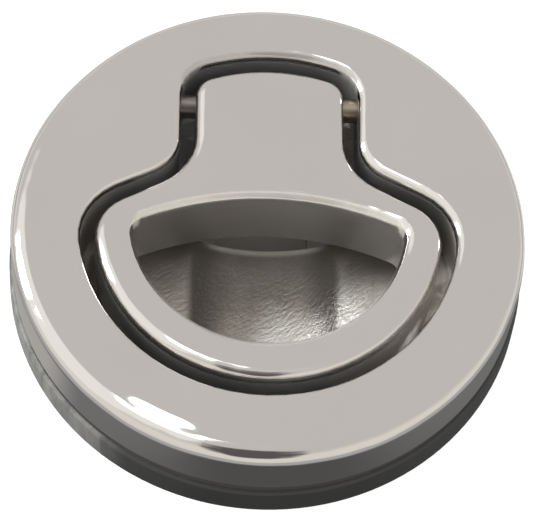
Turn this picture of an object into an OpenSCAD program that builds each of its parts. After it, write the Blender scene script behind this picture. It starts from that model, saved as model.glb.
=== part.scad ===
// Round flush latch: a cast flange with a keyhole pocket, a pull lever that lies flush in the pocket,
// and a sprung slam bolt below it that the lever's tail draws back.
// Origin at the centre of the gasket's seating face, +Z out of the panel, +Y towards hinge and bolt.

/* [Flange] */
// Diameter of the flange
flange_d = 62; // [60:0.5:72]
// Thickness of the flange
flange_h = 7.6; // [7:0.1:9]
// Radius of the flange's upper outer edge
flange_edge_r = 2; // [0.4:0.1:2.5]

/* [Gasket and clamp nut] */
// Thickness of the gasket
gasket_h = 1.4; // [0.8:0.1:2.5]
// How far the gasket stays inside the flange's edge
gasket_inset = 0.2; // [0:0.1:1.5]
// Height of the clamp nut
nut_h = 5; // [3:0.1:7]
// How far the nut stands out past the flange
nut_proud = 0.3; // [0:0.1:2]
// Radius of the nut's outer edges
nut_edge_r = 0.6; // [0.2:0.1:1.5]
// Diameter of the spanner holes in the nut
nut_hole_d = 3.2; // [2:0.1:4]
// Depth of the spanner holes
nut_hole_depth = 2.6; // [1:0.1:2.8]
// Number of spanner holes
nut_hole_count = 4; // [2:1:8]
// Radial play of gasket and nut on the spigot
nut_play = 0.1; // [0.05:0.05:0.5]

/* [Spigot] */
// Width of the flange's seat outside the spigot
seat_w = 5.5; // [4.5:0.1:6.5]
// Length of the spigot below the gasket
spigot_len = 15; // [14:0.5:20]
// Wall of the spigot where the casting is cored out
spigot_wall = 2.3; // [1.8:0.1:3]

/* [Pull lever] */
// Wall of the casting between the ring's pocket and the spigot's outside
pocket_wall = 2.7; // [2.4:0.1:3.2]
// How far the ring's centre lies towards the hinge
ring_shift = 0.6; // [0:0.1:1]
// Radius of the shoulder corners
shoulder_r = 5.6; // [4:0.1:7]
// Slope of the shoulders, in degrees
shoulder_angle = 27; // [20:1:35]
// Where the shoulder lines meet the stem's sides, from the flange's centre
shoulder_y = 7.9; // [7:0.1:9]
// Radius of the necks between shoulders and stem
neck_r = 7.2; // [5.5:0.1:8]
// Width of the stem
stem_w = 18.2; // [16.5:0.1:19]
// Wall of the casting between the stem's pocket and the spigot's outside
end_wall = 1.7; // [1.5:0.1:2]
// Radius of the stem's end corners
stem_corner_r = 2.6; // [1.5:0.1:4]
// Thickness of the lever
lever_t = 10.2; // [9.4:0.1:10.3]
// Radius of the lever's upper edges
lever_edge_r = 1.3; // [0.6:0.1:1.5]
// Radius of the lever's lower edges
lever_under_r = 0.4; // [0.2:0.1:0.8]
// Chamfer under the stem's end, which swings down as the lever lifts
heel_chamfer = 2.4; // [2.2:0.1:2.8]

/* [Finger opening] */
// Width of the ring below the opening
ring_w = 4.5; // [3.8:0.1:6]
// How far the lower edge's centre lies towards the hinge
grip_shift = 1.1; // [0:0.1:1.4]
// Top of the opening on the centre line
grip_top = 3.7; // [2:0.1:5]
// Radius of the top edge's bow
grip_bow_r = 39; // [30:1:60]
// Radius of the opening's corners
grip_corner_r = 1.8; // [1:0.1:3]

/* [Pocket and cup] */
// Gap between lever and pocket
lever_gap = 1.8; // [1.6:0.1:2.1]
// Radius of the pocket's upper edge
pocket_edge_r = 1; // [0.3:0.1:1.3]
// Depth of the pocket's straight wall
pocket_depth = 10.5; // [10.2:0.1:11.5]
// Depth of the finger cup's shoulders
cup_depth = 14.1; // [13.6:0.1:15]
// Radius of the flat part of the cup's floor
cup_flat_r = 13; // [10:0.5:15]
// Depth of the finger trough below the cup's shoulders
trough_depth = 3.2; // [2.4:0.1:3.5]
// Width of the finger trough
trough_w = 18.4; // [18:0.1:19.5]
// How softly the trough's sides run out into the shoulders
trough_blend = 0.3; // [0.2:0.1:1]
// Where the trough's rounded end is centred
trough_end_y = -8; // [-9:0.5:-6]
// Wall under the trough
cup_wall = 1.8; // [1.4:0.1:2.2]
// Wall under the cup's shoulders
shoulder_wall = 2.4; // [1.8:0.1:3]
// Width of the lever well behind the trough
well_w = 17.8; // [15:0.1:17.8]
// Length of the lever well in front of the hinge pin
well_len = 12.7; // [12.3:0.1:13.1]
// Radius of the lip between trough and well
lip_r = 0.5; // [0.2:0.1:0.8]

/* [Hinge] */
// Diameter of the hinge pin
pin_d = 3; // [2.5:0.1:3.5]
// Distance of the hinge pin from the stem's end
pin_inset = 3.5; // [3.2:0.1:3.7]
// Depth of the hinge pin below the flange's top
pin_depth = 4; // [3.8:0.1:4.3]
// Length of pin that is held on each side of the pocket
pin_grip = 6; // [4:0.5:8]
// Radial running clearance of the lever on the pin
pin_play = 0.05; // [0.02:0.01:0.1]
// Diameter of the set screw that closes the pin's hole
set_screw_d = 4; // [3.8:0.1:5]
// Length of the set screw
set_screw_len = 5; // [3:0.5:6]
// How far the lever lifts, in degrees
lever_open = 35; // [20:1:37]

/* [Tail and stop] */
// Space between the tail's tip and the bolt below it
tip_space = 0.9; // [0.5:0.1:1.4]
// How far the tip leans towards the bolt's nose when the lever is flush
arm_lean = 1.2; // [0.6:0.1:1.6]
// Width of the tail
tail_w = 8; // [5:0.5:10]
// Thickness of the tail at the hinge
tail_root_t = 6; // [5:0.1:6.5]
// Thickness of the tail above its tip
tail_neck_t = 3.2; // [2.4:0.1:3.6]
// Radius of the tail's tip
tip_r = 2; // [1.8:0.1:2.2]
// Play between the tail's tip and the bolt's lug
tail_play = 0.3; // [0.28:0.02:0.5]
// Diameter of the rubber stop
bumper_d = 6; // [4:0.5:8]
// Thickness of the rubber stop's head
bumper_t = 0.9; // [0.7:0.1:1.2]
// Diameter of the rubber stop's stem
bumper_stem_d = 2.6; // [2:0.1:3.5]
// Length of the rubber stop's stem
bumper_stem_len = 1.4; // [0.8:0.1:1.6]
// Distance of the rubber stop from the casting's lower edge
bumper_edge = 0.3; // [0.2:0.1:1]

/* [Bolt] */
// Width of the bolt
bolt_w = 15; // [14:0.2:16]
// Height of the bolt
bolt_h = 8.8; // [8:0.1:10]
// How far the bolt's nose stands out past the spigot
bolt_throw = 12; // [8:0.5:14]
// Height of the blunt end above the nose's ramp
nose_blunt = 2.2; // [1:0.1:3]
// Slope of the nose's ramp, in degrees
nose_angle = 45; // [40:1:60]
// Chamfer of the nose's upright corners
nose_chamfer = 2; // [0.5:0.1:3]
// Thickness of the lug that the tail pulls
lug_t = 3.5; // [3:0.1:4.5]
// Width of the lug
lug_w = 11.4; // [9:0.2:12]
// Length of bolt behind the lug
bolt_back_len = 15; // [14:0.5:16]
// Play between the lug's top and the cup above it
lug_play = 0.4; // [0.3:0.05:0.6]
// Play of the bolt in its channel
slide_play = 0.15; // [0.1:0.01:0.3]
// Space left behind the bolt when it is drawn right back
end_play = 0.6; // [0.3:0.1:1.5]

/* [Bolt springs] */
// Outer diameter of the springs
spring_d = 4.6; // [4:0.1:5]
// Wire diameter of the springs
spring_wire_d = 0.7; // [0.5:0.05:0.8]
// Number of turns
spring_turns = 10; // [8:1:11]
// Distance between the two springs
spring_spacing = 8.4; // [7.5:0.1:9]
// Depth of the spring holes in the bolt
spring_hole_depth = 14; // [12:0.5:15]
// Radial play of the springs in their holes
spring_play = 0.35; // [0.2:0.05:0.45]
// Length of the pegs that centre the springs
spring_peg_len = 3.5; // [2:0.5:6]

/* [Bolt housing] */
// Thickness of the housing's round plate
plate_t = 2.2; // [1.8:0.1:3]
// How far the plate stays inside the spigot's outside
plate_inset = 1.1; // [0.6:0.1:1.5]
// Wall of the bolt channel
housing_wall = 2.2; // [1.6:0.1:2.6]
// Thickness of the ribs beside the channel
rib_t = 1.6; // [1:0.1:2.4]
// Reach of the ribs
rib_reach = 6; // [3:0.5:7]
// Where the ribs stand, along the bolt
rib_y = [-3, 5]; // [-8:0.5:8]

/* [Housing screws] */
// Diameter of the screws
screw_d = 3; // [2.5:0.1:3.2]
// Diameter of the screw heads
screw_head_d = 5.4; // [5:0.1:5.8]
// Height of the screw heads
screw_head_h = 2; // [1.4:0.1:2.4]
// Depth of the screws in the casting
screw_grip = 5; // [4:0.5:6]
// Distance of the screws from the plate's edge
screw_inset = 5.6; // [4.5:0.1:6]
// Angles of the back and front screws, from the sideways direction
screw_angles = [-36, 39]; // [-42:1:42]
// Diameter of the bosses that take the screws
boss_d = 6.6; // [6:0.1:7]
// Diametral clearance of the screws in the plate
screw_clearance = 0.4; // [0.2:0.1:0.6]

/* [Hidden] */
$fn = 64;

// Clearance of pieces that are pressed or screwed into the casting
press_fit = 0.02;
// Overlap that lets a cut pass clean through a face
cut = 1;
// Steps along a rounded edge
edge_steps = 5;
// How far the cup's rim stays inside the pocket's wall, and how far it cuts up past the pocket's floor
cup_rim_inset = 0.8;
cup_rim_rise = 0.5;
// Turn of the cup's rim at which its first and last rows lie
cup_end_turn = 86;
// Share of a short row that lies between the trough's creases
crease_share = 0.8;
// Share of a rounded edge's quarter turn that a flared cut follows before it runs out straight
flare_turn = 75;

// Heights, all from the gasket's seating face
top = gasket_h + flange_h;
spigot_bottom = -spigot_len;
pocket_floor = top - pocket_depth;
cup_floor = top - cup_depth;
trough_floor = cup_floor - trough_depth;
pin_z = top - pin_depth;
lever_bottom = top - lever_t;

// Radii and half widths
flange_r = flange_d / 2;
spigot_r = flange_r - seat_w;
core_r = spigot_r - spigot_wall;
pocket_r = spigot_r - pocket_wall;
ring_r = pocket_r - lever_gap;
grip_r = ring_r - ring_w;
stem_end_r = spigot_r - end_wall - lever_gap;
stem_half = stem_w / 2;
trough_r = (pow(trough_w / 2, 2) + pow(trough_depth, 2)) / (2 * trough_depth);
trough_axis_z = trough_floor + trough_r;
cup_rim_r = pocket_r - cup_rim_inset;
cup_rim_z = pocket_floor + cup_rim_rise;
cup_bend_r = (pow(cup_rim_r - cup_flat_r, 2) + pow(cup_rim_z - cup_floor, 2)) / (2 * (cup_rim_z - cup_floor));

// Tail, lug and bolt travel
pin_y = stem_end_r - pin_inset;
well_front_y = pin_y - well_len;
plate_bottom = spigot_bottom - plate_t;
bolt_top = plate_bottom - slide_play;
tip_y = pin_y + arm_lean;
tip_z = bolt_top + tip_space + tip_r;
arm_angle = atan(arm_lean / (pin_z - tip_z));
arm_len = (pin_z - tip_z) / cos(arm_angle);
bolt_travel = arm_lean + arm_len * sin(lever_open - arm_angle);
stop_gap = 0.05;
well_back_y = tip_y + tip_r + stop_gap + bumper_t;
lug_face_y = tip_y - tip_r - tail_play;
lug_back_y = lug_face_y - lug_t;
lug_top = trough_floor - cup_wall - lug_play;
bumper_z = spigot_bottom + bumper_d / 2 + bumper_edge;

// Bolt and housing
plate_r = spigot_r - plate_inset;
screw_circle_r = plate_r - screw_inset;
bolt_bottom = bolt_top - bolt_h;
bolt_back_y = lug_back_y - bolt_back_len;
bolt_front_y = spigot_r + bolt_throw;
channel_floor = bolt_bottom - slide_play;
channel_half = bolt_w / 2 + slide_play;
channel_back_y = bolt_back_y - bolt_travel - end_play;
housing_half = channel_half + housing_wall;
housing_bottom = channel_floor - housing_wall;
window_half = lug_w / 2 + slide_play;
spring_hole_d = spring_d + 2 * spring_play;
spring_z = (bolt_top + bolt_bottom) / 2;
spring_front_y = bolt_back_y + spring_hole_depth;
spring_len = spring_front_y - channel_back_y;
spring_peg_d = spring_d - 2 * spring_wire_d - 2 * spring_play;

// Hinge pin and its hole
pin_end_x = stem_half + lever_gap + pin_grip;
pin_hole_d = pin_d + 2 * press_fit;
set_screw_hole_d = set_screw_d + 2 * press_fit;

// Points along an arc, both ends included
function arc(centre, r, from, to, steps) = [
    for (i = [0 : steps])
        let (a = from + (to - from) * i / steps)
        centre + r * [cos(a), sin(a)]
];

// The lower of two heights, with the step between them rounded off over a blend height
function soft_min(a, b, blend) =
    let (share = max(0, min(1, 0.5 + (b - a) / (2 * blend))))
    b * (1 - share) + a * share - blend * share * (1 - share);

// A list without its first entry
function rest(list) = [for (i = [1 : len(list) - 1]) list[i]];

// Right half of the lever's outline, grown by d, from the bottom of the ring up to the stem's end
function lever_half(d) =
    let (
        ring = ring_r + d,
        corner = shoulder_r + d,
        neck = neck_r - d,
        half = stem_half + d,
        end = stem_end_r + d,
        end_corner = stem_corner_r + d,
        normal = [sin(shoulder_angle), cos(shoulder_angle)],
        reach = normal * [stem_half, shoulder_y] + d,
        turn = 90 - shoulder_angle - acos((reach - corner - ring_shift * normal.y) / (ring - corner)),
        corner_c = [0, ring_shift] + (ring - corner) * [cos(turn), sin(turn)],
        neck_c = [half + neck, (reach + neck - normal.x * (half + neck)) / normal.y],
        end_c = [half - end_corner, sqrt(pow(end - end_corner, 2) - pow(half - end_corner, 2))],
        end_turn = atan2(end_c.y, end_c.x)
    )
    concat(
        arc([0, ring_shift], ring, -90, turn, 16),
        rest(arc(corner_c, corner, turn, 90 - shoulder_angle, 6)),
        arc(neck_c, neck, 270 - shoulder_angle, 180, 6),
        arc(end_c, end_corner, 0, end_turn, 5),
        rest(arc([0, 0], end, end_turn, 90, 5))
    );

// Right half of the finger opening's outline, grown by d, from its bottom up to its top
function grip_half(d) =
    let (
        low = grip_r + d,
        bow = grip_bow_r + d,
        corner = grip_corner_r + d,
        bow_y = grip_top - grip_bow_r,
        apart = grip_shift - bow_y,
        up = (pow(bow - corner, 2) - pow(low - corner, 2) + pow(apart, 2)) / (2 * apart),
        corner_c = [sqrt(pow(bow - corner, 2) - up * up), bow_y + up],
        low_turn = atan2(corner_c.y - grip_shift, corner_c.x),
        bow_turn = atan2(up, corner_c.x)
    )
    concat(
        arc([0, grip_shift], low, -90, low_turn, 14),
        rest(arc(corner_c, corner, low_turn, bow_turn, 5)),
        rest(arc([0, bow_y], bow, bow_turn, 90, 7))
    );

// Offsets and heights that round an edge off: [offset, height] pairs for a solid's upper edge
function round_over(r) = [
    for (i = [0 : edge_steps])
        let (a = 90 * i / edge_steps)
        [r * cos(a) - r, r * sin(a) - r]
];

// The same for the mouth of a cut, run out past the face so that the cut passes through it
function flare(r) =
    let (
        last = [r - r * cos(flare_turn), r * sin(flare_turn) - r],
        out = [2 * r - last.x, -last.y]
    )
    concat(
        [for (i = [0 : edge_steps - 1])
            let (a = flare_turn * i / (edge_steps - 1))
            [r - r * cos(a), r * sin(a) - r]],
        [out, [out.x, cut]]
    );

// A solid skinned through layers, each given by the right half of a mirrored outline and a height
module skin(halves, heights) {
    m = len(halves[0]);
    n = 2 * m - 2;
    layers = len(heights);
    points = [
        for (k = [0 : layers - 1], i = [0 : n - 1])
            let (p = i < m ? halves[k][i] : halves[k][n - i])
            [i < m ? p.x : -p.x, p.y, heights[k]]
    ];
    sides = [
        for (k = [0 : layers - 2], i = [0 : n - 1])
            let (j = (i + 1) % n)
            [k * n + i, (k + 1) * n + i, (k + 1) * n + j, k * n + j]
    ];
    cap = [
        for (i = [0 : m - 2])
            i == 0 ? [0, n - 1, 1] : i == m - 2 ? [i, n - i, m - 1] : [i, n - i, n - i - 1, i + 1]
    ];
    base = [for (f = cap) [for (i = [len(f) - 1 : -1 : 0]) f[i]]];
    lid = [for (f = cap) [for (i = f) i + (layers - 1) * n]];
    polyhedron(points, concat(sides, base, lid), convexity = 6);
}

// A cylinder along X, centred on the given span
module rod_x(d, from, to) {
    translate([from, 0, 0]) rotate([0, 90, 0]) cylinder(d = d, h = to - from);
}

// A cylinder along Y, from one end to the other
module rod_y(d, from, to) {
    translate([0, from, 0]) rotate([-90, 0, 0]) cylinder(d = d, h = to - from);
}

// Flange with a rounded upper edge
module flange() {
    edge = [for (p = round_over(flange_edge_r)) [flange_r + p.x, top + p.y]];
    rotate_extrude($fn = 180) polygon(concat([[0, gasket_h], [flange_r, gasket_h]], edge, [[0, top]]));
}

// Keyhole pocket with a rounded mouth
module pocket() {
    mouth = flare(pocket_edge_r);
    halves = concat([lever_half(lever_gap)], [for (p = mouth) lever_half(lever_gap + p.x)]);
    heights = concat([pocket_floor], [for (p = mouth) top + p.y]);
    skin(halves, heights);
}

// Round-ended trough along Y, grown by d all round
module trough(d) {
    r = trough_r + d;
    bend = arc([0, 0], r, 270, 360, 16);
    translate([0, trough_end_y, trough_axis_z])
        rotate([-90, 0, 0])
            rotate_extrude($fn = 120)
                polygon(concat([for (p = bend) [p.x, p.y]], [[r, 2 * pocket_r], [0, 2 * pocket_r]]));
}

// Height of the cup's floor at a distance from the ring's centre, flat in the middle and turned up at the rim
function bowl_z(r) =
    let (out = max(0, r - cup_flat_r))
    cup_floor + cup_bend_r - sqrt(max(0, cup_bend_r * cup_bend_r - out * out));

// Height of the round-ended trough's floor
function trough_z(x, y) =
    let (back = min(0, y - trough_end_y))
    trough_axis_z - sqrt(max(0, trough_r * trough_r - x * x - back * back));

// Drop of the lip's rounded edge at a distance along Y
function lip_drop(y) =
    let (over = max(0, min(lip_r, y - well_front_y + lip_r)))
    lip_r - sqrt(lip_r * lip_r - over * over);

// Rows of the cup's floor along Y: evenly up to the lip, close together on the lip, wide behind it
function cup_rows() =
    let (
        reach = cup_rim_r * sin(cup_end_turn),
        front = ring_shift - reach,
        lip = well_front_y - lip_r,
        back = ring_shift + reach
    )
    concat(
        [for (i = [0 : 25]) front + (lip - front) * i / 26],
        [for (i = [0 : 4]) lip + lip_r * sin(90 * i / 4)],
        [for (i = [1 : 6]) well_front_y + (back - well_front_y) * i / 6]
    );

// Columns of the cup's floor across a row: close together at the trough's creases, wide on the shoulders
function cup_columns(y) =
    let (
        chord = sqrt(cup_rim_r * cup_rim_r - pow(y - ring_shift, 2)),
        crease = min(trough_w / 2, chord * crease_share),
        side = [for (i = [1 : 6]) crease + (chord - crease) * pow(i / 6, 2)]
    )
    concat(
        [for (i = [5 : -1 : 0]) -side[i]],
        [for (i = [-12 : 12]) crease * sin(90 * i / 12)],
        side
    );

// Finger cup with its trough and the lip behind it
module cup() {
    lid_z = pocket_floor + cut;
    ys = cup_rows();
    n = len(cup_columns(0));
    m = len(ys);
    floor_points = [
        for (y = ys, x = cup_columns(y))
            [x, y, soft_min(bowl_z(norm([x, y - ring_shift])), trough_z(x, y), trough_blend) - lip_drop(y)]
    ];
    edge = concat(
        [for (i = [0 : n - 1]) i],
        [for (j = [1 : m - 1]) j * n + n - 1],
        [for (i = [n - 2 : -1 : 0]) (m - 1) * n + i],
        [for (j = [m - 2 : -1 : 1]) j * n]
    );
    lid_points = [for (i = edge) [floor_points[i].x, floor_points[i].y, lid_z]];
    k = len(edge);
    floor_faces = [
        for (j = [0 : m - 2], i = [0 : n - 2], half = [0, 1])
            let (a = j * n + i)
            half == 0 ? [a, a + 1, a + n + 1] : [a, a + n + 1, a + n]
    ];
    wall_faces = [
        for (i = [0 : k - 1])
            let (next = (i + 1) % k)
            [edge[next], edge[i], n * m + i, n * m + next]
    ];
    lid = [[for (i = [k - 1 : -1 : 0]) n * m + i]];
    polyhedron(concat(floor_points, lid_points), concat(floor_faces, wall_faces, lid), convexity = 4);
}

// Well for the lever's tail, open below
module well() {
    translate([-well_w / 2, well_front_y, spigot_bottom - cut])
        cube([well_w, well_back_y - well_front_y, pocket_floor - spigot_bottom + 2 * cut]);
}

// Places of the housing screws
module at_screws() {
    for (side = [-1, 1], a = screw_angles)
        translate([side * screw_circle_r * cos(a), screw_circle_r * sin(a), spigot_bottom])
            children();
}

// Cored-out underside, with screw bosses, the cup's underside and the well's walls left standing
module underside_core() {
    wall_half = well_w / 2 + spigot_wall;
    floor_z = cup_floor - shoulder_wall;
    rim_z = cup_rim_z - 2 * cup_wall;
    difference() {
        rotate_extrude($fn = 120)
            polygon([
                [0, spigot_bottom - cut], [core_r, spigot_bottom - cut], [core_r, rim_z],
                [cup_flat_r + cup_wall / 2, floor_z], [0, floor_z]
            ]);
        intersection() {
            trough(cup_wall);
            translate([-trough_w, -pocket_r, spigot_bottom - 2 * cut])
                cube([2 * trough_w, pocket_r + well_front_y + cut, spigot_len + top]);
        }
        translate([-wall_half, well_front_y + cut, spigot_bottom - 2 * cut])
            cube([2 * wall_half, spigot_r, spigot_len + top]);
        at_screws() translate([0, 0, -2 * cut]) cylinder(d = boss_d, h = spigot_len + top);
    }
}

// Cross-drilled hole for the hinge pin, blind on the left, with the set screw's hole on the right
module hinge_hole() {
    translate([0, pin_y, pin_z]) {
        rod_x(pin_hole_d, -pin_end_x - press_fit, pin_end_x + cut);
        rod_x(set_screw_hole_d, pin_end_x + press_fit, flange_r + cut);
    }
}

module bezel() {
    color("silver")
        difference() {
            union() {
                flange();
                translate([0, 0, spigot_bottom]) cylinder(r = spigot_r, h = spigot_len + top - cut, $fn = 180);
            }
            pocket();
            cup();
            well();
            underside_core();
            hinge_hole();
            at_screws() translate([0, 0, -cut]) cylinder(d = screw_d + 2 * press_fit, h = screw_grip + 2 * cut);
            translate([0, 0, bumper_z]) rod_y(bumper_stem_d + 2 * press_fit, well_back_y - cut,
                well_back_y + bumper_stem_len + press_fit);
        }
}

module gasket() {
    color("dimgray")
        difference() {
            cylinder(r = flange_r - gasket_inset, h = gasket_h, $fn = 180);
            translate([0, 0, -cut]) cylinder(r = spigot_r + nut_play, h = gasket_h + 2 * cut, $fn = 180);
        }
}

module clamp_nut() {
    outer = flange_r + nut_proud;
    inner = spigot_r + nut_play;
    upper = [for (p = round_over(nut_edge_r)) [outer + p.x, p.y]];
    lower = [for (i = [edge_steps : -1 : 0]) [upper[i].x, -nut_h - upper[i].y]];
    color("black")
        difference() {
            rotate_extrude($fn = 180) polygon(concat([[inner, -nut_h]], lower, upper, [[inner, 0]]));
            for (i = [0 : nut_hole_count - 1])
                rotate(45 + 360 * i / nut_hole_count)
                    translate([(outer + inner) / 2, 0, -nut_h - cut])
                        cylinder(d = nut_hole_d, h = nut_hole_depth + cut);
        }
}

// Lever plate with rounded edges above and below
module lever_plate() {
    under = round_over(lever_under_r);
    lower = [for (i = [edge_steps : -1 : 0]) [under[i].x, lever_bottom - under[i].y]];
    upper = [for (p = round_over(lever_edge_r)) [p.x, top + p.y]];
    layers = concat(lower, upper);
    skin([for (p = layers) lever_half(p.x)], [for (p = layers) p.y]);
}

// Finger opening with rounded mouths above and below
module grip_opening() {
    under = flare(lever_under_r);
    n = len(under) - 1;
    lower = [for (i = [n : -1 : 0]) [under[i].x, lever_bottom - under[i].y]];
    upper = [for (p = flare(lever_edge_r)) [p.x, top + p.y]];
    layers = concat(lower, upper);
    skin([for (p = layers) grip_half(p.x)], [for (p = layers) p.y]);
}

// Wedge cut off under the stem's end
module heel_cut() {
    start = stem_end_r - heel_chamfer;
    translate([-stem_w, 0, lever_bottom])
        rotate([90, 0, 90])
            linear_extrude(2 * stem_w)
                polygon([[start - cut, -cut], [stem_end_r + cut, -cut], [stem_end_r + cut, heel_chamfer + cut]]);
}

// Tail below the hinge, tapered to a round tip
module tail() {
    translate([-tail_w / 2, pin_y, pin_z])
        rotate([arm_angle, 0, 0])
            rotate([90, 0, 90])
                linear_extrude(tail_w) {
                    polygon([
                        [-tail_root_t / 2, 0], [-tail_neck_t / 2, -arm_len],
                        [tail_neck_t / 2, -arm_len], [tail_root_t / 2, 0]
                    ]);
                    translate([0, -arm_len]) circle(r = tip_r);
                }
}

module pull_lever() {
    color("gainsboro")
        difference() {
            union() {
                difference() {
                    lever_plate();
                    heel_cut();
                }
                tail();
            }
            grip_opening();
            translate([0, pin_y, pin_z]) rod_x(pin_d + 2 * pin_play, -stem_w, stem_w);
        }
}

module hinge_pin() {
    chamfer = pin_d / 10;
    color("lightgray")
        translate([-pin_end_x, pin_y, pin_z])
            rotate([0, 90, 0])
                rotate_extrude()
                    polygon([
                        [0, 0], [pin_d / 2 - chamfer, 0], [pin_d / 2, chamfer],
                        [pin_d / 2, 2 * pin_end_x - chamfer], [pin_d / 2 - chamfer, 2 * pin_end_x], [0, 2 * pin_end_x]
                    ]);
}

module pin_set_screw() {
    start = pin_end_x + 2 * press_fit;
    color("gray")
        translate([0, pin_y, pin_z])
            difference() {
                rod_x(set_screw_d, start, start + set_screw_len);
                translate([start + set_screw_len / 2, 0, 0])
                    rotate([0, 90, 0])
                        cylinder(d = set_screw_d / 2, h = set_screw_len, $fn = 6);
            }
}

module stop_bumper() {
    color("black")
        translate([0, 0, bumper_z]) {
            rod_y(bumper_d, well_back_y - bumper_t, well_back_y);
            rod_y(bumper_stem_d, well_back_y - bumper_t / 2, well_back_y + bumper_stem_len);
        }
}

// Side view of the bolt: Y across, Z up
module bolt_profile() {
    ramp = (bolt_h - nose_blunt) / tan(nose_angle);
    polygon([
        [bolt_back_y, bolt_bottom], [bolt_front_y - ramp, bolt_bottom], [bolt_front_y, bolt_top - nose_blunt],
        [bolt_front_y, bolt_top], [bolt_back_y, bolt_top]
    ]);
}

// Plan view of the bolt, with its nose's corners cut off
module bolt_plan() {
    half = bolt_w / 2;
    polygon([
        [-half, bolt_back_y - cut], [half, bolt_back_y - cut], [half, bolt_front_y - nose_chamfer],
        [half - nose_chamfer, bolt_front_y + press_fit], [nose_chamfer - half, bolt_front_y + press_fit],
        [-half, bolt_front_y - nose_chamfer]
    ]);
}

module latch_bolt() {
    color("gainsboro")
        difference() {
            union() {
                intersection() {
                    translate([-bolt_w, 0, 0]) rotate([90, 0, 90]) linear_extrude(2 * bolt_w) bolt_profile();
                    translate([0, 0, bolt_bottom - cut]) linear_extrude(bolt_h + 2 * cut) bolt_plan();
                }
                translate([-lug_w / 2, lug_back_y, bolt_top - cut])
                    cube([lug_w, lug_t, lug_top - bolt_top + cut]);
            }
            for (side = [-1, 1])
                translate([side * spring_spacing / 2, 0, spring_z])
                    rod_y(spring_hole_d, bolt_back_y - cut, spring_front_y);
        }
}

// Compression spring along Y with closed ends, one round wire swept along its coil
module bolt_spring(side) {
    turn_steps = 12;
    wire_sides = 6;
    wire_r = spring_wire_d / 2;
    coil_r = spring_d / 2 - wire_r;
    rings = spring_turns * turn_steps;
    start_y = channel_back_y + wire_r + press_fit;
    lift = spring_len - spring_wire_d - 2 * press_fit;
    // The first and last turn are closed, the others share the length evenly
    closed = spring_wire_d * 1.1;
    function climb(i) =
        let (t = (i - turn_steps) / (rings - 2 * turn_steps))
        start_y + closed + (lift - 2 * closed) * t;
    function along(i) =
        i < turn_steps ? start_y + closed * i / turn_steps
        : i > rings - turn_steps ? start_y + lift - closed * (rings - i) / turn_steps
        : climb(i);
    points = [
        for (i = [0 : rings], s = [0 : wire_sides - 1])
            let (
                a = 360 * i / turn_steps,
                b = 360 * s / wire_sides,
                r = coil_r + wire_r * cos(b)
            )
            [r * cos(a), along(i) + wire_r * sin(b), r * sin(a)]
    ];
    sides = [
        for (i = [0 : rings - 1], s = [0 : wire_sides - 1], half = [0, 1])
            let (
                a = i * wire_sides + s,
                b = i * wire_sides + (s + 1) % wire_sides,
                c = b + wire_sides,
                d = a + wire_sides
            )
            half == 0 ? [a, b, c] : [a, c, d]
    ];
    first = [for (s = [wire_sides - 1 : -1 : 0]) s];
    last = [for (s = [0 : wire_sides - 1]) rings * wire_sides + s];
    color("lightgray")
        translate([side * spring_spacing / 2, 0, spring_z])
            polyhedron(points, concat(sides, [first, last]), convexity = 10);
}

module bolt_spring_left() {
    bolt_spring(-1);
}

module bolt_spring_right() {
    bolt_spring(1);
}

// Triangular rib between the plate and the channel's side
module rib() {
    rotate([90, 0, 0])
        linear_extrude(rib_t, center = true)
            polygon([
                [0, plate_bottom + plate_t / 2], [rib_reach, plate_bottom + plate_t / 2],
                [rib_reach, plate_bottom], [0, housing_bottom + housing_wall]
            ]);
}

module bolt_housing() {
    length = spigot_r - channel_back_y + housing_wall;
    color("dimgray")
        difference() {
            union() {
                translate([0, 0, plate_bottom]) cylinder(r = plate_r, h = plate_t, $fn = 180);
                intersection() {
                    translate([-housing_half, channel_back_y - housing_wall, housing_bottom])
                        cube([2 * housing_half, length, plate_bottom - housing_bottom + plate_t / 2]);
                    translate([0, 0, housing_bottom - cut])
                        cylinder(r = plate_r - press_fit, h = plate_bottom - housing_bottom + plate_t, $fn = 180);
                }
                for (side = [0, 1], y = rib_y)
                    mirror([side, 0, 0])
                        translate([housing_half - press_fit, y, 0])
                            rib();
            }
            difference() {
                translate([-channel_half, channel_back_y, channel_floor])
                    cube([2 * channel_half, 4 * spigot_r, plate_bottom - channel_floor]);
                for (side = [-1, 1])
                    translate([side * spring_spacing / 2, 0, spring_z])
                        rod_y(spring_peg_d, channel_back_y - cut, channel_back_y + spring_peg_len);
            }
            translate([-window_half, lug_back_y - bolt_travel - end_play, plate_bottom - cut])
                cube([2 * window_half, 4 * spigot_r, plate_t + 2 * cut]);
            at_screws()
                translate([0, 0, -plate_t - cut])
                    cylinder(d = screw_d + screw_clearance, h = plate_t + 2 * cut);
        }
}

// Pan-head screw with a hex socket, head below
module screw() {
    socket_d = screw_head_d / 2;
    difference() {
        union() {
            translate([0, 0, -plate_t - screw_head_h]) cylinder(d = screw_head_d, h = screw_head_h);
            translate([0, 0, -plate_t - screw_head_h / 2])
                cylinder(d = screw_d, h = plate_t + screw_head_h / 2 + screw_grip);
        }
        translate([0, 0, -plate_t - screw_head_h - cut])
            cylinder(d = socket_d, h = screw_head_h / 2 + cut, $fn = 6);
    }
}

module housing_screws() {
    color("silver") at_screws() screw();
}

bezel();
gasket();
clamp_nut();
pull_lever();
hinge_pin();
pin_set_screw();
stop_bumper();
latch_bolt();
bolt_spring_left();
bolt_spring_right();
bolt_housing();
housing_screws();
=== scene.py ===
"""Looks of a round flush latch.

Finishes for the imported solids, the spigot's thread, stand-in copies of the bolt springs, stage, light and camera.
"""
import math

import bmesh
import bpy
from mathutils import Matrix, Vector


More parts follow.
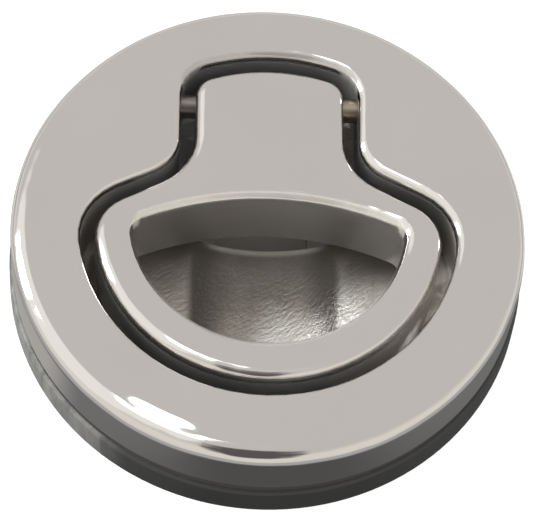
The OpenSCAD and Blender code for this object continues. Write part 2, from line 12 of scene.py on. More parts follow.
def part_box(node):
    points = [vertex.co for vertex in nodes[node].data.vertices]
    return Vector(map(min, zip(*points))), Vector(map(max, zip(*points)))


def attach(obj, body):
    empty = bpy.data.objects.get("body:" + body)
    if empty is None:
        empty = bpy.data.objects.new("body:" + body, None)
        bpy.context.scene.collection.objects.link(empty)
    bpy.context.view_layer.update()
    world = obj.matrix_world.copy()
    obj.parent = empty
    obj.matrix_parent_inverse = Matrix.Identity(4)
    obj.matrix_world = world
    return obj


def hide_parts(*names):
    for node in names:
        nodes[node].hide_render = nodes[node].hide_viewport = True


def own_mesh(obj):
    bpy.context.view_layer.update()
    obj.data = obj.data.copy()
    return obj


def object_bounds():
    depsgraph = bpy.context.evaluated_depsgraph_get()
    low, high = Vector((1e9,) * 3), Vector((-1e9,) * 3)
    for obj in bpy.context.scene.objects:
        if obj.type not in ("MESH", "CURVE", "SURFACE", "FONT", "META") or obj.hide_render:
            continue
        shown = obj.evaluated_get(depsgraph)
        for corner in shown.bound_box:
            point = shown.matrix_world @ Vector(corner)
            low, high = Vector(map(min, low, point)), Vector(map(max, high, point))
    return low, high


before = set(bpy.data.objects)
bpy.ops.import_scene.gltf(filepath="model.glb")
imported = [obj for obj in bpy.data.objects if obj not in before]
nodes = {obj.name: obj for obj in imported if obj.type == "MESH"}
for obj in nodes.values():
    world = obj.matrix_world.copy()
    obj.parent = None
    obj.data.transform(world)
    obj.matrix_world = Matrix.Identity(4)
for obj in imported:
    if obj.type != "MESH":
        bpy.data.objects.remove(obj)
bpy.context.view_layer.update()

MM = 0.001

# Places that the finishes depend on, read from the frame
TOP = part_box("bezel")[1].z
SPIGOT_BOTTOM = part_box("bezel")[0].z
NUT_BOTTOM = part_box("clamp_nut")[0].z
FLOOR_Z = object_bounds()[0].z

# Sizes that the frame doesn't give by itself
SPIGOT_R = 25.5 * MM
POCKET_FLOOR = TOP - 10.5 * MM
WELL_Y = 5.8 * MM

# The spigot's thread: its section is given in pitches along the axis and thread depths outwards
THREAD_PITCH = 1.5 * MM
THREAD_DEPTH = 0.32 * MM
THREAD_PROFILE = ((-0.42, -0.05), (-0.12, 1.0), (0.12, 1.0), (0.42, -0.05))
THREAD_STEPS = 96
THREAD_FADE = 24

# Spots that the finishes single out: a wider rounding of the rim, a painted highlight in the cup, a painted glint
# on the lever, the lever's opening and a painted sheen on the plastic
CROWN_AT = Vector((-12.6, -26.1, 9.0)) * MM
CUP_HIGHLIGHT_AT = Vector((3.0, -7.5, -7.5)) * MM
GLINT_AT = Vector((17.4, -10.8, 1.6)) * MM
OPENING_AT = Vector((0.0, -3.0, 6.0)) * MM
PLASTIC_SHEEN_AT = Vector((-27.5, -14.5, -2.0)) * MM

# Strength of the painted light: faint glows on the lip, the pocket corner, the lever's glint, the bolt and the
# housing that stand in for stray light in the gaps
LIP_LIGHT = 0.075
CORNER_LIGHT = 0.10
GLINT_LIGHT = 0.22
BOLT_LIGHT = 0.018
HOUSING_LIGHT = 0.045

# Edges of the solids
MERGE_GAP = 0.002 * MM
SHARP_ANGLE = math.radians(38)
BEVEL_ANGLE = math.radians(40)

# Camera: where it stands, and how it is turned, in the frame of the latch
CAMERA_AT = Vector((-13.81, -183.87, 345.41)) * MM
CAMERA_RIGHT = Vector((0.9990, 0.0081, 0.0445))
CAMERA_UP = Vector((-0.0280, 0.8827, 0.4691))
CAMERA_BACK = Vector((-0.0355, -0.4698, 0.8821))
SENSOR_W = 36.0
FOCAL_PX = 3200.0
IMAGE_W = 533
CLIP_START = 0.01


def grey(value, warmth=0.0):
    """Grey, shifted towards red by a share of its value."""
    return (value * (1 + warmth), value, value * (1 - warmth), 1.0)


# Colours of the bezel: single ones, or the two ends of a mix
POLISH = grey(0.80, 0.025), grey(0.76, 0.03)
# Painted sheen on the pocket's rear edge
REAR_EDGE_SHEEN = (0.64, 0.62, 0.60, 1)
CUP = (0.545, 0.505, 0.455, 1), (0.65, 0.605, 0.55, 1)
# Painted shade and painted highlight in the cup
CUP_SHADOW = (0.32, 0.295, 0.27, 1)
CUP_HIGHLIGHT = (0.97, 0.95, 0.90, 1)
# Pocket walls: one dull finish in painted shade and painted light
WALL_SHADE = grey(0.28, 0.01), grey(0.34, 0.01)
WALL_LIT = grey(0.80, 0.05), grey(0.88, 0.05)
WALL_LEFT_LIT = grey(0.46, 0.03)
WALL_UPPER_RIGHT_SHADE = grey(0.15, 0.03)
WELL_WALL_LIT = grey(0.86, 0.01)
TURNED = grey(0.46, 0.02), grey(0.60, 0.02)
STRAY_LIGHT = (1.0, 0.93, 0.84, 1)

# Colours of the other pieces
# Lever: painted light on the outer sides, a painted sheen, a painted highlight and a painted glint
LEVER_OUTER_LIT_RIGHT = grey(0.35, 0.02), grey(0.58, 0.04)
LEVER_INNER = grey(0.23, 0.04), grey(0.28, 0.04)
LEVER_BACK_SHEEN = grey(0.62, 0.03)
LEVER_EDGE_HIGHLIGHT = (0.88, 0.86, 0.81, 1)
LEVER_GLINT = grey(0.88, 0.02)
BRUSHED = grey(0.40, 0.03), grey(0.52, 0.03)
# Pins: a painted reflection, greyer at the left end and browner at the right
PIN_LEFT = (0.25, 0.22, 0.20, 1), (0.37, 0.335, 0.305, 1)
PIN_RIGHT = (0.36, 0.30, 0.23, 1), (0.56, 0.475, 0.37, 1)
# Bolt: cast steel whose body is painted pale, as painted light for the bolt seen deep in the well
BOLT_BODY = grey(0.70, 0.02), grey(0.80, 0.02)
BOLT_NOSE = grey(0.42, 0.02), grey(0.56, 0.02)
SPRING = grey(0.40, -0.01), grey(0.55, 0.01)
RUBBER_BLACK = grey(0.055), grey(0.080)
PLASTIC_BLACK = grey(0.040, -0.01), grey(0.058, -0.01)
PLASTIC_SHEEN = (0.31, 0.31, 0.305, 1)

# The floor as the camera sees it, and as the polish mirrors it
FLOOR_HALF = 3.0
FLOOR_DROP = 0.05 * MM
FLOOR_PAPER = grey(0.35)
FLOOR_GLOW = 0.9
# Painted shadow near the object and in one spot, and a painted pool of light, on the floor that the polish mirrors
FLOOR_NEAR_SHADOW = grey(0.088), grey(0.18)
FLOOR_MIDDLE = grey(0.46)
FLOOR_FAR = (0.78, 0.76, 0.72, 1)
FLOOR_SHADOW_SPOT = grey(0.06)
FLOOR_LIGHT_SPOT = (0.42, 0.41, 0.395, 1)

# The room that the polish mirrors, with the direction that the flat top mirrors to the camera
CEILING = (0.625, 0.605, 0.585, 1.0)
CREAM = (0.82, 0.785, 0.72, 1.0)
HAZE = (0.96, 0.95, 0.91, 1.0)
WINDOW = (11.0, 11.1, 11.2, 1.0)
LAMP = (2.4, 2.45, 2.5, 1.0)
SHADE = (0.115, 0.105, 0.11, 1.0)
FLAT_MIRRORS = (0.035, 0.47, 0.88)

# Round patches of the room, in degrees: to the right of and behind straight up, inner and outer radius
SHADE_PATCHES = (-3, -29, 3, 13), (-4, -46, 8, 18), (-5, -60, 5, 15)
WINDOW_PATCHES = (-50, 16.5, 4, 8), (-60, 16.5, 5, 9), (-70, 16.5, 5, 9), (-79, 17, 5, 9)
LAMP_PATCHES = (-3.8, 15.5, 1.5, 4), (-5.4, 12, 2, 4.5), (-8.1, 6.2, 2.5, 5.5), (-11.5, -1, 2.5, 6)


# Small helpers for node trees

class Nodes:
    """Adds nodes to one tree and links them by socket."""

    def __init__(self, tree):
        self.tree = tree
        tree.nodes.clear()

    def add(self, kind, inputs=None, **settings):
        node = self.tree.nodes.new(kind)
        for key, value in settings.items():
            setattr(node, key, value)
        for key, value in (inputs or {}).items():
            self.put(node.inputs[key], value)
        return node

    def put(self, socket, value):
        if isinstance(value, bpy.types.NodeSocket):
            self.tree.links.new(value, socket)
        else:
            socket.default_value = value

    def math(self, operation, a, b=0.0):
        return self.add("ShaderNodeMath", {0: a, 1: b}, operation=operation).outputs[0]

    def times(self, product, *factors):
        """Product of numbers."""
        for factor in factors:
            product = self.math("MULTIPLY", product, factor)
        return product

    def larger(self, a, b):
        return self.math("MAXIMUM", a, b)

    def ramp(self, value, low, high, to_low=0.0, to_high=1.0):
        """Smooth step of a value from low to high."""
        inputs = {"Value": value, "From Min": low, "From Max": high, "To Min": to_low, "To Max": to_high}
        return self.add("ShaderNodeMapRange", inputs, interpolation_type="SMOOTHSTEP").outputs[0]

    def noise(self, vector, scale, detail=2.0, roughness=0.5):
        inputs = {"Vector": vector, "Scale": scale, "Detail": detail, "Roughness": roughness}
        return self.add("ShaderNodeTexNoise", inputs).outputs["Fac"]

    def mix(self, factor, a, b):
        """Mix of two colours."""
        return self.add("ShaderNodeMix", {0: factor, 6: a, 7: b}, data_type="RGBA").outputs[2]

    def blend(self, factor, a, b):
        """Mix of two numbers."""
        return self.add("ShaderNodeMix", {0: factor, 2: a, 3: b}, data_type="FLOAT").outputs[0]

    def turn(self, factor, a, b):
        """Mix of two normals."""
        return self.add("ShaderNodeMix", {0: factor, 4: a, 5: b}, data_type="VECTOR").outputs[1]

    def bump(self, height, distance, strength=1.0, normal=None):
        inputs = {"Height": height, "Distance": distance, "Strength": strength}
        if normal is not None:
            inputs["Normal"] = normal
        return self.add("ShaderNodeBump", inputs).outputs[0]

    def position(self):
        return self.add("ShaderNodeTexCoord").outputs["Object"]

    def place(self):
        """Position on the object, with its parts and its distance from the axis."""
        at = self.position()
        x, y, z = self.add("ShaderNodeSeparateXYZ", {0: at}).outputs
        radius = self.math("SQRT", self.math("ADD", self.times(x, x), self.times(y, y)))
        return at, x, y, z, radius

    def facing(self):
        """Parts of the normal along the object's axes."""
        return self.add("ShaderNodeSeparateXYZ", {0: self.add("ShaderNodeTexCoord").outputs["Normal"]}).outputs

    def plain_normal(self):
        return self.add("ShaderNodeNewGeometry").outputs["Normal"]

    def distance(self, at, point):
        return self.add("ShaderNodeVectorMath", {0: at, 1: point}, operation="DISTANCE").outputs["Value"]

    def scaled(self, at, scale):
        return self.add("ShaderNodeMapping", {"Vector": at, "Scale": scale}).outputs[0]


def new_material(name):
    material = bpy.data.materials.new(name)
    material.use_nodes = True
    return material, Nodes(material.node_tree)


def surface(n, **sockets):
    """Principled shader wired to the output."""
    names = {key.replace("_", " "): value for key, value in sockets.items()}
    shader = n.add("ShaderNodeBsdfPrincipled", names)
    n.add("ShaderNodeOutputMaterial", {"Surface": shader.outputs[0]})


# Materials

def polish_parts(n, at):
    """Colour, roughness and normal of hand-polished stainless, with faint smears and slow waves."""
    smear = n.noise(at, 90, 3)
    color = n.mix(smear, *POLISH)
    roughness = n.ramp(smear, 0.3, 0.7, 0.05, 0.09)
    upward = n.facing()[2]
    rounded = n.times(n.ramp(upward, 0.9995, 0.985), n.ramp(upward, 0.05, 0.3))
    uneven = n.bump(n.noise(at, 90, 2), 0.8 * MM, 0.75)
    return color, roughness, n.turn(rounded, n.plain_normal(), uneven)


def crowned_rim(n, at, radius, waves):
    """Normal of the polished top, where one stretch of the rim is rounded over more widely."""
    spread = n.distance(at, CROWN_AT)
    crown = n.times(n.ramp(radius, 27.6 * MM, 29.4 * MM), n.ramp(spread, 6 * MM, 1.5 * MM))
    calm = n.turn(n.ramp(spread, 9 * MM, 5 * MM), waves, n.plain_normal())
    return n.bump(n.times(crown, -1.0), 0.19 * MM, 1.0, calm)


def cup_color(n, at, x, y, cloud, lip):
    """Cast finger cup: painted shade on the trough's sides and at the back, painted highlights on the right crest,
    on a spot low in the trough and on the lip.
    """
    across = n.math("ABSOLUTE", x)
    steep = n.times(n.ramp(across, 3.8 * MM, 7.8 * MM), n.ramp(across, 10.0 * MM, 8.5 * MM))
    upper = n.times(n.ramp(y, 0, 4.5 * MM), n.ramp(across, 4.5 * MM, 8 * MM))
    upper_right = n.times(n.ramp(y, -3.5 * MM, 2.5 * MM), n.ramp(x, 9 * MM, 11 * MM))
    shadow = n.larger(steep, n.larger(upper, upper_right))
    # painted highlight: the right crest, a spot low in the trough and the lip are coloured bright
    crest = n.times(n.ramp(x, 8.4 * MM, 10.0 * MM), n.ramp(x, 16 * MM, 10.2 * MM), n.ramp(y, 2.5 * MM, -3.5 * MM))
    painted_highlight = n.larger(crest, n.ramp(n.distance(at, CUP_HIGHLIGHT_AT), 6.5 * MM, 2.0 * MM))
    color = n.mix(n.ramp(cloud, 0.3, 0.7), *CUP)
    color = n.mix(shadow, color, CUP_SHADOW)
    return n.mix(n.larger(painted_highlight, lip), color, CUP_HIGHLIGHT)


def wall_color(n, x, y, z, cloud):
    """Dull pocket wall in painted shade over most of it, painted light at the lower right and at the far left,
    deeper painted shade at the upper right, pale painted light down in the lever well.
    """
    shade = n.mix(n.ramp(x, -17 * MM, -21.5 * MM), n.mix(cloud, *WALL_SHADE), WALL_LEFT_LIT)
    right = n.mix(n.ramp(y, 3.5 * MM, -1.5 * MM), WALL_UPPER_RIGHT_SHADE, n.mix(cloud, *WALL_LIT))
    color = n.mix(n.ramp(x, 9 * MM, 20 * MM), shade, right)
    deep = n.times(n.ramp(z, POCKET_FLOOR + 3 * MM, POCKET_FLOOR), n.ramp(y, WELL_Y, WELL_Y + 2 * MM))
    return n.mix(deep, color, WELL_WALL_LIT)


def cup_normal(n, at, x):
    """Softened creases, a crest on the right and slanting grain."""
    softened = n.add("ShaderNodeBevel", {"Radius": 1.1 * MM}, samples=6).outputs[0]
    crest = n.bump(n.ramp(x, 8.4 * MM, 13.5 * MM), 1.4 * MM, 1.0, softened)
    slant = {"Vector": at, "Rotation": (0, 0, math.radians(40)), "Scale": (1.9, 1, 1)}
    slanted = n.add("ShaderNodeMapping", slant, vector_type="TEXTURE").outputs[0]
    return n.bump(n.noise(slanted, 2500, 3, 0.6), 0.09 * MM, 0.9, crest)


def cast_and_polished(name):
    """Cast stainless: polished on top and outside, dull in the pocket, grained in the cup, turned below."""
    material, n = new_material(name)
    at, x, y, z, radius = n.place()
    cloud = n.noise(at, 260, 3)

    inside = n.ramp(radius, SPIGOT_R, SPIGOT_R - 0.3 * MM)
    sunk = n.times(inside, n.ramp(z, TOP - 1.0 * MM, TOP - 1.9 * MM))
    low = n.times(
        inside,
        n.ramp(z, POCKET_FLOOR + 1.2 * MM, POCKET_FLOOR - 0.6 * MM),
        n.ramp(y, WELL_Y + 1.6 * MM, WELL_Y + 0.6 * MM),
    )
    turned = n.times(n.math("SUBTRACT", 1.0, inside), n.ramp(z, 0.2 * MM, -0.2 * MM))
    # painted highlight: the lip of the well is coloured bright and glows faintly
    lip = n.times(
        n.ramp(y, WELL_Y - 1.3 * MM, WELL_Y - 0.3 * MM),
        n.ramp(n.math("ABSOLUTE", x), 8.5 * MM, 5 * MM),
    )
    forward = n.facing()[1]
    # painted sheen: pale dull grey in place of the mirrored dark streak on the pocket's rear edge
    rear_sheen = n.times(
        n.ramp(y, 12 * MM, 15 * MM),
        n.ramp(radius, 28.5 * MM, 27.5 * MM),
        n.ramp(forward, -0.16, -0.34),
        n.ramp(forward, -0.90, -0.80),
    )
    # painted light: a faint glow on the pocket wall at its lower right corner
    corner = n.times(
        n.ramp(y, 2 * MM, -2 * MM),
        n.ramp(y, -9 * MM, -5 * MM),
        n.ramp(x, 11 * MM, 15 * MM),
        n.ramp(n.noise(at, 480, 2), 0.38, 0.62, 0.5, 1.6),
        n.ramp(z, TOP - 6 * MM, TOP - 9 * MM),
        sunk,
    )

    polish, polish_rough, waves = polish_parts(n, at)
    polish = n.mix(rear_sheen, polish, REAR_EDGE_SHEEN)
    dull = n.mix(low, wall_color(n, x, y, z, cloud), cup_color(n, at, x, y, cloud, lip))
    rings = n.noise(n.scaled(at, (0.02, 0.02, 1)), 5200, 2)
    color = n.mix(turned, n.mix(sunk, polish, dull), n.mix(rings, *TURNED))

    cup_rough = n.ramp(cloud, 0.3, 0.7, 0.28, 0.36)
    roughness = n.blend(sunk, polish_rough, n.blend(low, 0.38, cup_rough))
    roughness = n.blend(turned, roughness, 0.3)
    cup_metallic = n.blend(lip, n.ramp(y, -7 * MM, 5 * MM, 0.80, 0.35), 0.1)
    metallic = n.blend(sunk, n.blend(rear_sheen, 1.0, 0.4), n.blend(low, 0.2, cup_metallic))

    wall_normal = n.bump(n.noise(at, 400, 2), 0.02 * MM, 0.4, n.plain_normal())
    normal = n.turn(sunk, crowned_rim(n, at, radius, waves), n.turn(low, wall_normal, cup_normal(n, at, x)))
    light = n.math("ADD", n.times(lip, low, LIP_LIGHT), n.times(corner, CORNER_LIGHT))
    surface(
        n, Base_Color=color, Metallic=metallic, Roughness=roughness, Normal=normal,
        Emission_Color=STRAY_LIGHT, Emission_Strength=light,
    )
    return material


def polished_lever(name):
    """The lever's finish: polished on top, dull on the sides and below with painted light that grows towards the
    right, a painted sheen on the opening's edges that face back, a painted highlight on those that face front, and
    a painted glint that glows.
    """
    material, n = new_material(name)
    at, x, _, z, _ = n.place()
    cloud = n.noise(at, 300, 3)
    behind = n.facing()[1]
    gap = n.distance(at, OPENING_AT)
    around = n.ramp(gap, 17.2 * MM, 16.4 * MM)
    upright = n.times(around, n.ramp(behind, -0.78, -0.90))
    side = n.larger(n.ramp(z, TOP - 1.3 * MM, TOP - 2.2 * MM), upright)
    # painted sheen: dull pale grey in place of the mirror finish on the opening's edges that face back
    back_sheen = n.times(n.ramp(behind, 0.3, 0.65), around)
    # painted highlight: a bright cream line on the opening's edges that face front
    front_highlight = n.times(
        n.ramp(behind, -0.2, -0.4),
        n.ramp(behind, -0.86, -0.70),
        around,
        n.math("SUBTRACT", 1.0, side),
    )
    streaks = n.ramp(n.noise(at, 800, 2), 0.35, 0.6, 0.4, 1.0)
    glint = n.times(n.ramp(n.distance(at, GLINT_AT), 3.2 * MM, 1.2 * MM), streaks)

    polish, polish_rough, waves = polish_parts(n, at)
    # painted light: the outer sides grow lighter towards the right
    outer = n.mix(n.ramp(x, 0, 18 * MM), *LEVER_OUTER_LIT_RIGHT)
    dull = n.mix(n.ramp(gap, 16.4 * MM, 17.2 * MM), n.mix(cloud, *LEVER_INNER), outer)
    color = n.mix(side, polish, dull)
    color = n.mix(back_sheen, color, LEVER_BACK_SHEEN)
    color = n.mix(front_highlight, color, LEVER_EDGE_HIGHLIGHT)
    color = n.mix(glint, color, LEVER_GLINT)

    roughness = n.blend(side, polish_rough, n.ramp(cloud, 0.3, 0.7, 0.30, 0.38))
    roughness = n.blend(back_sheen, roughness, 0.4)
    roughness = n.blend(front_highlight, roughness, 0.25)
    metallic = n.blend(side, 1.0, 0.4)
    metallic = n.blend(back_sheen, metallic, 0.05)
    metallic = n.blend(front_highlight, metallic, 0.42)
    light = n.times(glint, GLINT_LIGHT)
    surface(n, Base_Color=color, Metallic=metallic, Roughness=roughness, Normal=waves, Emission_Strength=light)
    return material


def satin_steel(name):
    """Brushed stainless with fine lines along Y."""
    material, n = new_material(name)
    lines = n.noise(n.scaled(n.position(), (1.0, 0.03, 1.0)), 2600, 3, 0.6)
    roughness = n.ramp(lines, 0.25, 0.75, 0.22, 0.38)
    normal = n.bump(lines, 0.02 * MM, 0.4)
    surface(n, Base_Color=n.mix(lines, *BRUSHED), Metallic=1.0, Roughness=roughness, Normal=normal)
    return material


def dull_pin(name):
    """Pin steel with a random mottle and a painted reflection: darker and greyer at its left end, lighter and
    browner at its right end.
    """
    material, n = new_material(name)
    at, x, _, _, _ = n.place()
    mottle = n.noise(at, 500, 3)
    color = n.mix(n.ramp(x, -8 * MM, 8 * MM), n.mix(mottle, *PIN_LEFT), n.mix(mottle, *PIN_RIGHT))
    surface(n, Base_Color=color, Metallic=0.92, Roughness=n.ramp(mottle, 0.3, 0.7, 0.26, 0.36))
    return material


def cast_bolt(name):
    """Fine-blasted cast steel, worn to plain metal on the nose; the body's pale colour and a faint glow are painted
    light for the bolt seen deep in the well.
    """
    material, n = new_material(name)
    at, _, y, _, _ = n.place()
    cloud = n.noise(at, 180, 4)
    nose = n.ramp(y, 14 * MM, 18 * MM)
    color = n.mix(nose, n.mix(cloud, *BOLT_BODY), n.mix(cloud, *BOLT_NOSE))
    normal = n.bump(n.noise(at, 4200, 2), 0.02 * MM, 0.5)
    roughness = n.ramp(cloud, 0.3, 0.7, 0.36, 0.46)
    surface(
        n, Base_Color=color, Metallic=n.blend(nose, 0.35, 0.92), Roughness=roughness, Normal=normal,
        Emission_Color=grey(1.0, 0.06), Emission_Strength=BOLT_LIGHT,
    )
    return material


def spring_wire(name):
    """Drawn spring wire."""
    material, n = new_material(name)
    drawn = n.noise(n.position(), 1800, 2)
    surface(n, Base_Color=n.mix(drawn, *SPRING), Metallic=1.0, Roughness=n.ramp(drawn, 0.3, 0.7, 0.2, 0.32))
    return material


def black_rubber(name):
    """Matt black rubber with a little bloom."""
    material, n = new_material(name)
    at = n.position()
    bloom = n.noise(at, 220, 4)
    normal = n.bump(n.noise(at, 2600, 2), 0.03 * MM, 0.5)
    roughness = n.ramp(bloom, 0.3, 0.7, 0.62, 0.8)
    surface(n, Base_Color=n.mix(bloom, *RUBBER_BLACK), Roughness=roughness, Normal=normal)
    return material


def black_plastic(name, lit_top=None):
    """Moulded black plastic with a fine grain, a painted sheen along one side, and painted light, a faint glow, on
    a top inside the spigot.
    """
    material, n = new_material(name)
    at, _, _, z, radius = n.place()
    dust = n.noise(at, 160, 5, 0.6)
    streaks = n.noise(n.scaled(at, (1, 1, 0.15)), 420, 4, 0.65)
    # painted sheen: a pale streaky patch on one side
    painted_sheen = n.times(n.ramp(n.distance(at, PLASTIC_SHEEN_AT), 17 * MM, 10 * MM), n.ramp(streaks, 0.30, 0.62, 0.45, 1.0))
    color = n.mix(painted_sheen, n.mix(dust, *PLASTIC_BLACK), PLASTIC_SHEEN)
    normal = n.bump(n.noise(at, 3200, 2), 0.02 * MM, 0.5)
    roughness = n.ramp(dust, 0.3, 0.7, 0.36, 0.5)
    light = 0.0
    if lit_top is not None:
        # painted light: a faint glow on the housing's top inside the spigot
        top = n.times(n.ramp(z, lit_top - 0.4 * MM, lit_top - 0.1 * MM), n.ramp(radius, 22 * MM, 20 * MM))
        light = n.times(top, HOUSING_LIGHT)
    surface(
        n, Base_Color=color, Roughness=roughness, Normal=normal,
        Emission_Color=grey(1.0, 0.03), Emission_Strength=light,
    )
    return material


# Modifiers that give the solids smooth curves, crisp flats and softly broken edges

def shading_group():
    """Joins the tessellated faces, shades them smooth and keeps steep edges sharp."""
    group = bpy.data.node_groups.new("smooth_by_angle", "GeometryNodeTree")
    group.interface.new_socket("Geometry", in_out="INPUT", socket_type="NodeSocketGeometry")
    group.interface.new_socket("Geometry", in_out="OUTPUT", socket_type="NodeSocketGeometry")
    add = group.nodes.new
    source = add("NodeGroupInput")
    join = add("GeometryNodeMergeByDistance")
    join.inputs["Distance"].default_value = MERGE_GAP
    faces = add("GeometryNodeSetShadeSmooth")
    edges = add("GeometryNodeSetShadeSmooth")
    edges.domain = "EDGE"
    edges.inputs["Shade Smooth"].default_value = False
    angle = add("GeometryNodeInputMeshEdgeAngle")
    sharp = add("FunctionNodeCompare")
    sharp.operation = "GREATER_THAN"
    sharp.inputs[1].default_value = SHARP_ANGLE
    sink = add("NodeGroupOutput")
    link = group.links.new
    link(source.outputs[0], join.inputs["Geometry"])
    link(join.outputs[0], faces.inputs["Geometry"])
    link(faces.outputs[0], edges.inputs["Geometry"])
    link(angle.outputs["Unsigned Angle"], sharp.inputs[0])
    link(sharp.outputs[0], edges.inputs["Selection"])
    link(edges.outputs[0], sink.inputs[0])
    return group


SMOOTH = shading_group()


def finish(solid, material, edge=0.0):
    """Gives a mesh its material, smooth shading and, where edge is set, softened edges."""
    solid.data.materials.clear()
    solid.data.materials.append(material)
    smooth = solid.modifiers.new("smooth", "NODES")
    smooth.node_group = SMOOTH
    if edge:
        bevel = solid.modifiers.new("edges", "BEVEL")
        bevel.width = edge
        bevel.segments = 2
        bevel.limit_method = "ANGLE"
        bevel.angle_limit = BEVEL_ANGLE
    weighted = solid.modifiers.new("normals", "WEIGHTED_NORMAL")
    weighted.mode = "FACE_AREA"
    weighted.weight = 100
    weighted.keep_sharp = True


def dress(name, material, edge=0.0):
    """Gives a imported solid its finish."""
    finish(nodes[name], material, edge)


STEEL = cast_and_polished("cast_polished_steel")
LEVER_STEEL = polished_lever("polished_lever_steel")
SATIN = satin_steel("satin_steel")
PIN = dull_pin("dull_pin_steel")
BOLT = cast_bolt("cast_bolt_steel")
WIRE = spring_wire("spring_wire")
RUBBER = black_rubber("black_rubber")
PLASTIC = black_plastic("black_plastic")
HOUSING = black_plastic("housing_plastic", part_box("bolt_housing")[1].z)

dress("bezel", STEEL)
dress("pull_lever", LEVER_STEEL)
dress("gasket", RUBBER)
dress("clamp_nut", PLASTIC)
dress("hinge_pin", PIN)
dress("pin_set_screw", SATIN)
dress("stop_bumper", RUBBER, 0.2 * MM)
dress("latch_bolt", BOLT, 0.3 * MM)
dress("bolt_housing", HOUSING, 0.25 * MM)
dress("housing_screws", SATIN, 0.2 * MM)


# The bolt springs, as copies that stand in for the packed ones

def make_spring(name):
    """Copy of a packed spring that stands in for it."""
    coil = bpy.data.objects.new(f"{name}_coil", nodes[name].data.copy())
    coil.matrix_world = nodes[name].matrix_world.copy()
    bpy.context.scene.collection.objects.link(coil)
    finish(coil, WIRE)
    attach(coil, "body")
    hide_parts(name)
    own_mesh(coil)


make_spring("bolt_spring_left")
make_spring("bolt_spring_right")


# The spigot's thread: a helical ridge from under the nut to the spigot's end

def make_thread():
    """Helix on the spigot that rises out of it and sinks back at both ends."""
    low, high = SPIGOT_BOTTOM + 1.2 * MM, NUT_BOTTOM + 0.8 * MM
    count = int((high - low) / THREAD_PITCH * THREAD_STEPS)
    mesh = bpy.data.meshes.new("spigot_thread")
    build = bmesh.new()
    rows = []
    for i in range(count + 1):
        turn = 2 * math.pi * i / THREAD_STEPS
        rise = low + THREAD_PITCH * i / THREAD_STEPS
        fade = min(1.0, i / THREAD_FADE, (count - i) / THREAD_FADE)
        row = []
        for along, out in THREAD_PROFILE:
            r = SPIGOT_R + THREAD_DEPTH * (out * fade if out > 0 else out)
            row.append(build.verts.new((r * math.cos(turn), r * math.sin(turn), rise + along * THREAD_PITCH)))
        rows.append(row)
    for before, after in zip(rows, rows[1:]):
        for k in range(len(THREAD_PROFILE) - 1):
            build.faces.new((before[k], after[k], after[k + 1], before[k + 1]))
    bmesh.ops.recalc_face_normals(build, faces=build.faces)
    for face in build.faces:
        face.smooth = True
    build.to_mesh(mesh)
    build.free()
    mesh.materials.append(STEEL)
    thread = bpy.data.objects.new("spigot_thread", mesh)
    bpy.context.scene.collection.objects.link(thread)
    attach(thread, "body")


make_thread()


# Stage: a pale floor, and the painted light and painted shadow on a table that the polished sides mirror

def floor_mirrored(n, z):
    """Colours that the polish sees on the floor: a painted shadow near the front and in a spot behind to the left,
    a painted pool of light to the left, pale behind and far off.
    """
    at, x, y, _, radius = n.place()

    def disc(centre, inner, outer):
        """1 within inner millimetres of a place on the floor, 0 beyond outer."""
        gap = n.distance(at, Vector((centre[0] * MM, centre[1] * MM, z)))
        return n.ramp(gap, outer * MM, inner * MM)

    sideways = n.math("ABSOLUTE", n.math("SUBTRACT", x, 4 * MM))
    near_shadow = n.mix(n.ramp(sideways, 11 * MM, 42 * MM), *FLOOR_NEAR_SHADOW)
    beyond = n.mix(n.ramp(radius, 150 * MM, 220 * MM), FLOOR_MIDDLE, FLOOR_FAR)
    front = n.mix(n.ramp(radius, 58 * MM, 84 * MM), near_shadow, beyond)
    back = n.mix(n.ramp(radius, 92 * MM, 116 * MM), FLOOR_FAR, beyond)
    table = n.mix(n.ramp(y, 4 * MM, 22 * MM), front, back)
    table = n.mix(disc((-32, 30), 10, 20), table, FLOOR_SHADOW_SPOT)
    return n.mix(disc((-46, 1), 10, 25), table, FLOOR_LIGHT_SPOT)


def make_floor():
    """Pale paper to the camera, a table to the polish, and clear from below."""
    half, z = FLOOR_HALF, FLOOR_Z - FLOOR_DROP
    mesh = bpy.data.meshes.new("floor")
    mesh.from_pydata([(-half, -half, z), (half, -half, z), (half, half, z), (-half, half, z)], [], [(0, 1, 2, 3)])
    floor = bpy.data.objects.new("floor", mesh)
    bpy.context.scene.collection.objects.link(floor)
    material, n = new_material("floor_paper")
    paper = n.add("ShaderNodeBsdfDiffuse", {"Color": FLOOR_PAPER})
    glow = n.add("ShaderNodeEmission", {"Color": grey(1.0), "Strength": FLOOR_GLOW})
    bright = n.add("ShaderNodeAddShader", {0: paper.outputs[0], 1: glow.outputs[0]})
    mirrored = n.add("ShaderNodeEmission", {"Color": floor_mirrored(n, z), "Strength": 1.0})
    seen = n.add("ShaderNodeLightPath").outputs["Is Camera Ray"]
    mixed = n.add("ShaderNodeMixShader", {0: seen, 1: mirrored.outputs[0], 2: bright.outputs[0]})
    below = n.add("ShaderNodeNewGeometry").outputs["Backfacing"]
    clear = n.add("ShaderNodeBsdfTransparent")
    one_sided = n.add("ShaderNodeMixShader", {0: below, 1: mixed.outputs[0], 2: clear.outputs[0]})
    n.add("ShaderNodeOutputMaterial", {"Surface": one_sided.outputs[0]})
    mesh.materials.append(material)


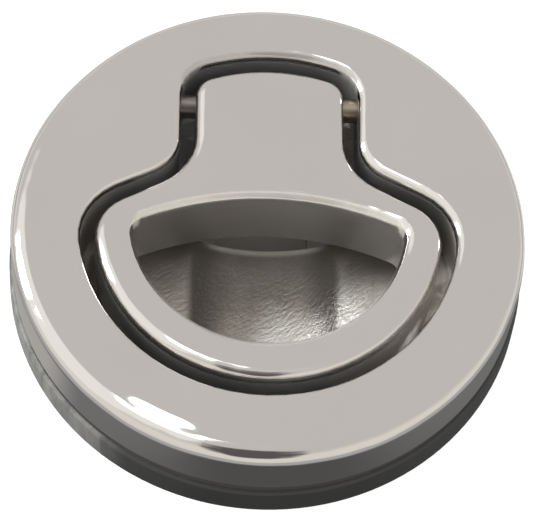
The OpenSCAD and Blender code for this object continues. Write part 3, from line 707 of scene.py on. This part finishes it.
def make_world():
    """A room for the polish to mirror: pale ceiling, cream walls, windows on the left, a dark shape in front."""
    world = bpy.data.worlds.new("studio")
    bpy.context.scene.world = world
    world.use_nodes = True
    n = Nodes(world.node_tree)
    direction = n.add("ShaderNodeTexCoord").outputs["Generated"]

    def polar(right, back):
        """Direction that lies so many degrees to the right of and behind straight up."""
        tilt = math.radians(math.hypot(right, back))
        around = math.atan2(back, right)
        return math.sin(tilt) * math.cos(around), math.sin(tilt) * math.sin(around), math.cos(tilt)

    def patch(towards, inner, outer):
        """1 within inner degrees of a direction, 0 beyond outer degrees."""
        aim = Vector(towards).normalized()
        dot = n.add("ShaderNodeVectorMath", {0: direction, 1: aim}, operation="DOT_PRODUCT").outputs["Value"]
        return n.ramp(dot, math.cos(math.radians(outer)), math.cos(math.radians(inner)))

    color = n.mix(patch(FLAT_MIRRORS, 62, 92), CREAM, CEILING)
    color = n.mix(patch(polar(-44, 3), 31, 40), color, HAZE)
    for patches, tone in ((SHADE_PATCHES, SHADE), (WINDOW_PATCHES, WINDOW), (LAMP_PATCHES, LAMP)):
        for right, back, inner, outer in patches:
            color = n.mix(patch(polar(right, back), inner, outer), color, tone)
    seen = n.add("ShaderNodeLightPath").outputs["Is Camera Ray"]
    color = n.mix(seen, color, grey(1.0))
    background = n.add("ShaderNodeBackground", {"Color": color, "Strength": 1.0})
    n.add("ShaderNodeOutputWorld", {"Surface": background.outputs[0]})


def make_camera():
    """The photo's camera."""
    data = bpy.data.cameras.new("camera")
    data.sensor_fit = "HORIZONTAL"
    data.sensor_width = SENSOR_W
    data.lens = FOCAL_PX * SENSOR_W / IMAGE_W
    data.clip_start = CLIP_START
    camera = bpy.data.objects.new("camera", data)
    bpy.context.scene.collection.objects.link(camera)
    turn = Matrix((CAMERA_RIGHT, CAMERA_UP, CAMERA_BACK)).transposed().to_4x4()
    camera.matrix_world = Matrix.Translation(CAMERA_AT) @ turn
    bpy.context.scene.camera = camera


make_floor()
make_world()
make_camera()
bpy.context.scene.view_settings.view_transform = "Standard"
